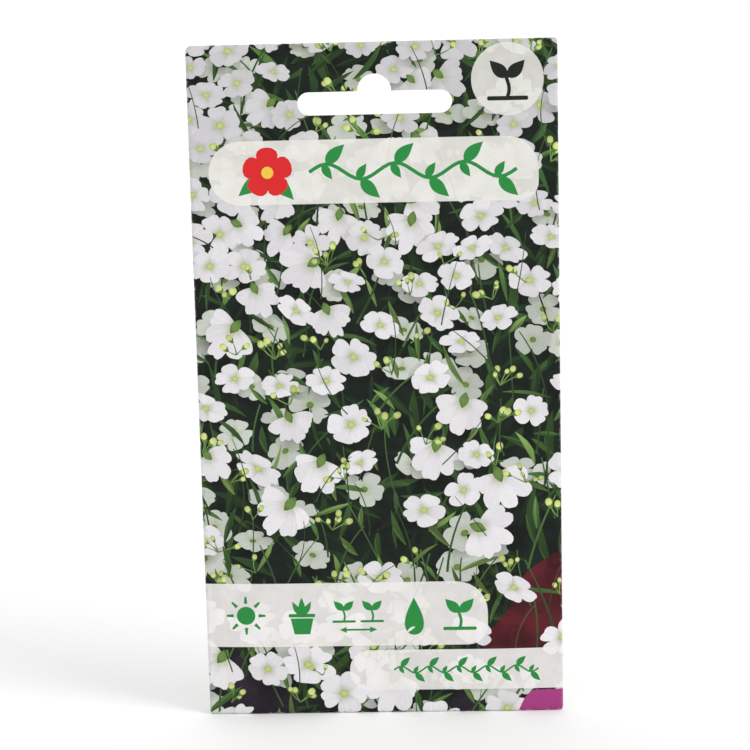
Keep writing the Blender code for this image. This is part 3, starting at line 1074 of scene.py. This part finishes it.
def print_values(mesh, points, triangles, owners, shapes, ground):
    """Stores the print on the mesh's corners: place, tint and veil."""
    places, tints, hazes = [], [], []
    for triangle, found in zip(triangles, owners):
        owner, shades, over = ground, [], NO_VEIL
        for item in (shapes[index] for index in found):
            if "shadow" in item:
                shades.append(item)
            elif "veil" in item:
                over = (*item["colour"], item["veil"])
            else:
                owner, shades = item, []
                if item["kind"] == INK:
                    over = NO_VEIL
        for index in triangle:
            where, colour = corner_values(points[index], owner, shades)
            places += where
            tints += colour
            hazes += over
    for name, kind, key, size, values in (("place", "FLOAT_VECTOR", "vector", 3, places),
                                          ("tint", "FLOAT_COLOR", "color", 4, tints),
                                          ("haze", "FLOAT_COLOR", "color", 4, hazes)):
        layer = mesh.attributes.new(name, kind, "CORNER")
        layer.data.foreach_set(key, values + [0.0] * (len(mesh.loops) * size - len(values)))


def bake_map(mesh, flat, outer_count, printed, rim_start, outline):
    """A flat map of the whole sheet: the print large, the plain inside small beside it."""
    left, low, right, high = extent(outline)
    wide, tall = right - left + 2.0 * MAP_MARGIN, high - low + 2.0 * MAP_MARGIN
    middle_x, middle_z = (left + right) / 2.0, (low + high) / 2.0
    values = []
    for polygon in mesh.polygons:
        for vertex in polygon.vertices:
            x, z = flat[vertex]
            across, up = (x - left + MAP_MARGIN) / wide, (z - low + MAP_MARGIN) / tall
            if printed <= polygon.index < rim_start:
                values += (PLAIN_START + across * PLAIN_SHARE, up * 0.5)
                continue
            if polygon.index >= rim_start and vertex >= outer_count:
                if abs(x - middle_x) > wide / 2.0 - MAP_MARGIN - MAP_RIM:
                    across += (MAP_RIM if x > middle_x else -MAP_RIM) / wide
                else:
                    up += (MAP_RIM if z > middle_z else -MAP_RIM) / tall
            values += (across * PRINT_SHARE, up)
    mesh.uv_layers.new(name="OFBake").uv.foreach_set("vector", values)


# Materials

WEAR_REACH = 0.0005
WEAR_STRENGTH = 0.7
PAPER_CORE = (0.80, 0.79, 0.76)
PETAL_GREEN = (0.50, 0.56, 0.30)


def node_material(name, roughness, specular, metallic=0.0):
    """A new material with its node tree, its shader and the object's own coordinates."""
    made = bpy.data.materials.new(name)
    made.use_nodes = True
    tree = made.node_tree
    shader = tree.nodes["Principled BSDF"]
    shader.inputs["Roughness"].default_value = roughness
    shader.inputs["Specular IOR Level"].default_value = specular
    shader.inputs["Metallic"].default_value = metallic
    return made, tree, shader, add(tree, "ShaderNodeTexCoord").outputs["Object"]


def add(tree, kind, inputs=None, **settings):
    """A new node with its settings, and with its inputs linked or set."""
    node = tree.nodes.new(kind)
    for key, value in settings.items():
        setattr(node, key, value)
    for key, value in (inputs or {}).items():
        wire(tree, value, node.inputs[key])
    return node


def wire(tree, value, socket):
    """Links an output to a socket, or sets a plain value on it."""
    if isinstance(value, bpy.types.NodeSocket):
        tree.links.new(value, socket)
    else:
        socket.default_value = value


def sums(tree, operation, *values):
    return add(tree, "ShaderNodeMath", dict(enumerate(values)), operation=operation).outputs[0]


def product(tree, first, *others):
    for other in others:
        first = sums(tree, "MULTIPLY", first, other)
    return first


def vectors(tree, operation, first, second, socket=1):
    inputs = {0: first, socket: second}
    return add(tree, "ShaderNodeVectorMath", inputs, operation=operation).outputs[0]


def separated(tree, vector):
    return add(tree, "ShaderNodeSeparateXYZ", {0: vector}).outputs


def mixed(tree, share, first, second, mode="MIX"):
    colours = [(*value, 1.0) if isinstance(value, tuple) else value for value in (first, second)]
    inputs = {"Factor": share, "A": colours[0], "B": colours[1]}
    return add(tree, "ShaderNodeMix", inputs, data_type="RGBA", blend_type=mode).outputs["Result"]


def ranged(tree, value, low, high, to_low=0.0, to_high=1.0, smoothly=True):
    inputs = {"Value": value, "From Min": low, "From Max": high, "To Min": to_low, "To Max": to_high}
    kind = "SMOOTHSTEP" if smoothly else "LINEAR"
    return add(tree, "ShaderNodeMapRange", inputs, interpolation_type=kind).outputs["Result"]


def noise_of(tree, where, scale, detail, roughness):
    inputs = {"Vector": where, "Scale": scale, "Detail": detail, "Roughness": roughness}
    return add(tree, "ShaderNodeTexNoise", inputs).outputs["Fac"]


def dimmed(tree, colour, light):
    """A colour times a brightness."""
    grey = add(tree, "ShaderNodeCombineColor", {"Red": light, "Green": light, "Blue": light})
    return mixed(tree, 1.0, colour, grey.outputs["Color"], "MULTIPLY")


def raised(tree, shader, height, strength, distance):
    inputs = {"Height": height, "Strength": strength, "Distance": distance}
    wire(tree, add(tree, "ShaderNodeBump", inputs).outputs["Normal"], shader.inputs["Normal"])


def paper_bump(tree, shader, where, depth):
    """Fine fibre grain of coated paper."""
    grain = noise_of(tree, where, 5200.0, 2.0, 0.6)
    cloud = noise_of(tree, where, 900.0, 3.0, 0.5)
    raised(tree, shader, sums(tree, "ADD", product(tree, grain, 0.5), cloud), depth, 0.00004)


def edge_wear(tree, where):
    """How far the white of the paper shows, in specks along the packet's folds and edges."""
    x, _, z = separated(tree, where)
    side = ranged(tree, sums(tree, "ABSOLUTE", x), WIDTH / 2.0 - WEAR_REACH, WIDTH / 2.0)
    high = ranged(tree, z, HEIGHT - WEAR_REACH, HEIGHT)
    low = ranged(tree, z, 0.0, WEAR_REACH, 1.0, 0.0)
    near = sums(tree, "MAXIMUM", side, sums(tree, "MAXIMUM", high, low))
    specks = noise_of(tree, where, 900.0, 4.0, 0.65)
    return product(tree, near, ranged(tree, specks, 0.50, 0.68, 0.0, WEAR_STRENGTH))


def ground_look(tree, tint, where):
    return dimmed(tree, tint, ranged(tree, noise_of(tree, where, 170.0, 4.0, 0.65), 0.3, 0.7, 0.5, 1.4))


def petal_look(tree, tint, own, where, u, side):
    """Faint folds along the petal, and a greener, darker base."""
    grain = vectors(tree, "ADD", vectors(tree, "MULTIPLY", own, (0.9, 6.0, 1.0)),
                    vectors(tree, "SCALE", where, 40.0, "Scale"))
    folds = ranged(tree, noise_of(tree, grain, 1.6, 2.0, 0.5), 0.25, 0.75, 0.955, 1.03)
    rise = ranged(tree, u, 0.02, 0.55, 0.80, 1.0)
    edge = ranged(tree, side, 0.60, 1.15, 1.0, 0.90)
    base = mixed(tree, ranged(tree, u, 0.06, 0.40, 0.75, 0.0), tint, PETAL_GREEN)
    return dimmed(tree, base, product(tree, folds, rise, edge))


def leaf_look(tree, tint, u, v, side):
    """A light rib, one side darker than the other, and a lighter tip."""
    rib = ranged(tree, side, 0.04, 0.22, 1.5, 1.0)
    half = ranged(tree, v, -0.25, 0.25, 0.72, 1.18)
    tip = ranged(tree, u, 0.1, 1.0, 0.75, 1.25)
    return dimmed(tree, tint, product(tree, rib, half, tip))


def bud_look(tree, tint, u, v):
    """Rounded: darker away from its middle."""
    away = sums(tree, "ADD", product(tree, u, u), product(tree, v, v))
    return dimmed(tree, tint, ranged(tree, away, 0.0, 1.2, 1.12, 0.72))


def print_material():
    made, tree, shader, where = node_material("printed paper", 0.36, 0.16)
    tint, own, haze = (add(tree, "ShaderNodeAttribute", attribute_name=name).outputs
                       for name in ("tint", "place", "haze"))
    u, v, kind = separated(tree, own["Vector"])
    side = sums(tree, "ABSOLUTE", v)
    plain = tint["Color"]
    colour = plain
    for value, look in ((GROUND, ground_look(tree, plain, where)),
                        (PETAL, petal_look(tree, plain, own["Vector"], where, u, side)),
                        (LEAF, leaf_look(tree, plain, u, v, side)),
                        (BUD, bud_look(tree, plain, u, v))):
        colour = mixed(tree, sums(tree, "COMPARE", kind, value, 0.3), colour, look)
    colour = dimmed(tree, colour, tint["Alpha"])
    speckle = noise_of(tree, where, 2600.0, 2.0, 0.6)
    colour = dimmed(tree, colour, ranged(tree, speckle, 0.3, 0.7, 0.965, 1.035, False))
    mottle = noise_of(tree, where, 260.0, 3.0, 0.55)
    field = dimmed(tree, haze["Color"], ranged(tree, mottle, 0.3, 0.7, 0.95, 1.03))
    colour = mixed(tree, haze["Alpha"], colour, field)
    colour = mixed(tree, edge_wear(tree, where), colour, PAPER_CORE)
    wire(tree, colour, shader.inputs["Base Color"])
    gloss = noise_of(tree, where, 420.0, 2.0, 0.5)
    wire(tree, ranged(tree, gloss, 0.3, 0.7, 0.32, 0.42, False), shader.inputs["Roughness"])
    paper_bump(tree, shader, where, 0.10)
    return made


def two_tone(tree, shader, value, dark, light):
    wire(tree, mixed(tree, ranged(tree, value, 0.3, 0.7), dark, light), shader.inputs["Base Color"])


def core_material():
    """The unprinted inside and the cut edges of the paper."""
    made, tree, shader, where = node_material("paper core", 0.75, 0.3)
    fibre = noise_of(tree, where, 1500.0, 4.0, 0.6)
    two_tone(tree, shader, fibre, (0.74, 0.73, 0.69), (0.84, 0.83, 0.80))
    paper_bump(tree, shader, where, 0.25)
    return made


def glue_material():
    made, tree, shader, where = node_material("dried glue", 0.25, 0.5)
    blot = noise_of(tree, where, 700.0, 3.0, 0.6)
    two_tone(tree, shader, blot, (0.66, 0.58, 0.38), (0.80, 0.74, 0.58))
    wire(tree, ranged(tree, blot, 0.3, 0.7, 0.18, 0.40), shader.inputs["Roughness"])
    return made


def foil_material():
    made, tree, shader, where = node_material("sachet foil", 0.30, 0.5, 1.0)
    crinkle = noise_of(tree, where, 260.0, 4.0, 0.6)
    two_tone(tree, shader, crinkle, (0.58, 0.59, 0.60), (0.72, 0.72, 0.71))
    wire(tree, ranged(tree, crinkle, 0.3, 0.7, 0.22, 0.40), shader.inputs["Roughness"])
    raised(tree, shader, crinkle, 0.4, 0.0002)
    return made


def seed_material():
    made, tree, shader, where = node_material("seed coat", 0.75, 0.3)
    grain = noise_of(tree, where, 1800.0, 4.0, 0.65)
    two_tone(tree, shader, grain, (0.20, 0.11, 0.05), (0.46, 0.30, 0.16))
    raised(tree, shader, grain, 0.6, 0.0001)
    return made


def floor_material():
    made, tree, shader, where = node_material("white board", 0.6, 0.3)
    tone = noise_of(tree, where, 3.0, 2.0, 0.5)
    wire(tree, mixed(tree, tone, (0.94,) * 3, (0.96,) * 3), shader.inputs["Base Color"])
    return made


# The envelope's pieces

# How far the front sheet stops short of the back ones, and where the back's plain colours begin
FRONT_SHORT = 0.02
WRAP_START = 0.84
ROLL_STEP = 0.14
FLAP_ROWS = [0.2, 0.4, 0.6, 0.8]
FLAP_PLAIN_LOW = 1.2
TOP_FLAP_CORNER = 1.5
BOTTOM_FLAP_CORNER = 3.0
FLAP_INSIDE = (0.80, 0.80, 0.76)


def linked(name, data):
    """A new object in the scene."""
    made = bpy.data.objects.new(name, data)
    bpy.context.scene.collection.objects.link(made)
    return made


def wrapped_colours(reach):
    """The back's plain colours, which begin at the outermost line of each side fold."""
    start = FOLD_X / MM + WRAP_START
    shapes = []
    for side in (-1.0, 1.0):
        left, right = sorted((side * start, side * (reach + 1.0)))
        for low, high, tint in ((-2.0, 152.0, BACK_PAPER), (BAND_LOW, 152.0, BACK_BAND),
                                (LINE_LOW, LINE_HIGH, BACK_LINE), (-2.0, FOOT_HIGH, BACK_BAND)):
            ink(shapes, tint, [even_box(left, low, right, high)])
    return shapes


def front_sheet(looks):
    reach = (FOLD_X + NOSE_RADIUS * pi) / MM - FRONT_SHORT
    roll = EDGE_ROUND * (pi / 2.0 - 1.0) / MM
    low, high = -roll, HEIGHT / MM + roll
    outline = divided(rounded_box(-reach, low, reach, high), SHEET_STEP)
    fold = FOLD_X / MM
    nose = [fold + NOSE_STEP * k for k in range(1, int((reach - fold) / NOSE_STEP))]
    columns = [-x for x in reversed(nose)] + spaced(-fold, fold, SHEET_STEP) + nose
    rows = [low + ROLL_STEP * k for k in (1, 2, 3)] + spaced(1.0, HEIGHT / MM - 1.0, SHEET_STEP)
    rows += [high - ROLL_STEP * k for k in (3, 2, 1)]
    ground = shape([(-50, -10), (50, -10), (50, 160), (-50, 160)], SOIL, GROUND)
    shapes = picture() + front_fields() + wrapped_colours(reach)
    printed_sheet("front_sheet", "front_panel", front_face, outline, [slot_outline()], shapes,
                  ground, -1.0, columns, rows, looks)


def back_sheets(shapes, looks):
    end = (FOLD_X - TOUCH) / MM
    lap = LAP / MM
    top = (HEIGHT - PAPER - GAP) / MM
    for name, node, left, right, depth_at in (
            ("back_sheet_right", "back_panel_right", -lap, end, right_back_depth),
            ("back_sheet_left", "back_panel_left", -end, lap, left_back_depth)):
        outline = divided(rounded_box(left, 0.0, right, top), SHEET_STEP)
        printed_sheet(name, node, back_face(depth_at), outline, [slot_outline()], shapes, shapes[0],
                      1.0, spaced(left, right, SHEET_STEP), spaced(0.0, top, SHEET_STEP), looks)


def flap(name, node, face, half, length, corner, holes, shapes, outward, strip_row, looks):
    """A flap's sheet, from the strip under its fold to its end with two rounded corners."""
    box = rounded_box(-half, -STRIP / MM, half, length, (0.0, 0.0, corner, corner))
    outline = divided(box, SHEET_STEP)
    ground = shapes[0] if shapes else shape(outline, FLAP_INSIDE, INK)
    rows = [strip_row] + FLAP_ROWS + spaced(FLAP_PLAIN_LOW, length, SHEET_STEP)
    printed_sheet(name, node, face, outline, holes, shapes, ground, outward,
                  spaced(-half, half, SHEET_STEP), rows, looks)


def top_fold(back_shapes, looks):
    """The top flap, with the back's print moved from heights to lengths down the flap."""
    slack = FLAP_ROUND * (pi / 2.0 - 1.0) / MM

    def moved(point):
        return point[0], HEIGHT / MM - point[1] + slack

    shapes = []
    for item in back_shapes:
        copy = dict(item, points=[moved(point) for point in item["points"]][::-1])
        for key in ("base", "centre"):
            if key in item:
                copy[key] = moved(item[key])
        for key in ("u", "v"):
            if key in item:
                copy[key] = (item[key][0], -item[key][1])
        shapes.append(copy)
    hole = [moved(point) for point in slot_outline()][::-1]
    flap("top_fold", "top_flap", flap_face(top_flap_depth, HEIGHT, -1.0),
         (WIDTH / 2.0 - TOP_FLAP_INSET) / MM, TOP_FLAP / MM, TOP_FLAP_CORNER, [hole], shapes, -1.0,
         -STRIP / MM / 2.0, looks)


def bottom_fold(core):
    """The bottom flap, which is bare paper on both sides."""
    flap("bottom_fold", "bottom_flap", flap_face(bottom_flap_depth, 0.0, 1.0),
         (WIDTH / 2.0 - BOTTOM_FLAP_INSET) / MM, BOTTOM_FLAP / MM, BOTTOM_FLAP_CORNER, [], [], 1.0,
         -0.4, (core, core))


def dress_inside():
    """The glue lines, the sachet and the seeds keep their solids, with materials of their own."""
    for look, nodes in ((glue_material(), ("seam_glue", "bottom_glue", "top_glue")),
                        (foil_material(), ("sachet_front", "sachet_back")),
                        (seed_material(), ("seeds",))):
        for node in nodes:
            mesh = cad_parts[node].data
            mesh.materials.clear()
            mesh.materials.append(look)


# Floor, lights and camera

BOARD_RADIUS = 2.6
RIM_RADIUS = 0.5
RIM_HEIGHT = 1.0
RIM_STEPS = 12
BOARD_SIDES = 96
BOARD_DROP = 0.00005
SUN_FROM = (0.70, -0.35, 0.60)
SUN_STRENGTH = 1.13
SUN_SPREAD = 28.0
SKY_STRENGTH = 0.88


def studio_floor():
    """A round white board whose rim curves up all round, far from the packet."""
    profile = []
    for step in range(RIM_STEPS + 1):
        angle = pi / 2.0 * step / RIM_STEPS
        profile.append((BOARD_RADIUS + RIM_RADIUS * sin(angle), RIM_RADIUS * (1.0 - cos(angle))))
    profile.append((BOARD_RADIUS + RIM_RADIUS, RIM_HEIGHT))
    places = [(0.0, 0.0, 0.0)]
    for radius, z in profile:
        places += [(x, y, z) for x, y in disc(0.0, 0.0, radius, BOARD_SIDES)]
    ring = range(BOARD_SIDES)
    faces = [(0, 1 + k, 1 + (k + 1) % BOARD_SIDES) for k in ring]
    for index in range(len(profile) - 1):
        low = 1 + index * BOARD_SIDES
        high = low + BOARD_SIDES
        faces += [(low + k, high + k, high + (k + 1) % BOARD_SIDES, low + (k + 1) % BOARD_SIDES)
                  for k in ring]
    mesh = bpy.data.meshes.new("floor")
    mesh.from_pydata(places, [], faces)
    mesh.materials.append(floor_material())
    mesh.shade_smooth()
    floor = linked("floor", mesh)
    floor.location.z = -BOARD_DROP


def studio_light():
    data = bpy.data.lights.new("key", "SUN")
    data.energy = SUN_STRENGTH
    data.angle = radians(SUN_SPREAD)
    linked("key", data).rotation_euler = Vector(SUN_FROM).to_track_quat("Z", "Y").to_euler()
    world = bpy.data.worlds.new("studio")
    world.use_nodes = True
    background = world.node_tree.nodes["Background"]
    background.inputs["Color"].default_value = (1.0, 1.0, 1.0, 1.0)
    background.inputs["Strength"].default_value = SKY_STRENGTH
    bpy.context.scene.world = world
    bpy.context.scene.view_settings.view_transform = "Standard"


def camera():
    data = bpy.data.cameras.new("camera")
    data.lens = LENS
    data.sensor_width = 36.0
    data.clip_start = 0.01
    eye = linked("camera", data)
    eye.location = CAMERA_PLACE
    eye.rotation_euler = Euler(CAMERA_TURN, "XYZ")
    bpy.context.scene.camera = eye


def build():
    looks = (print_material(), core_material())
    back_shapes = back_print()
    front_sheet(looks)
    back_sheets(back_shapes, looks)
    top_fold(back_shapes, looks)
    bottom_fold(looks[1])
    dress_inside()
    studio_floor()
    studio_light()
    camera()


build()
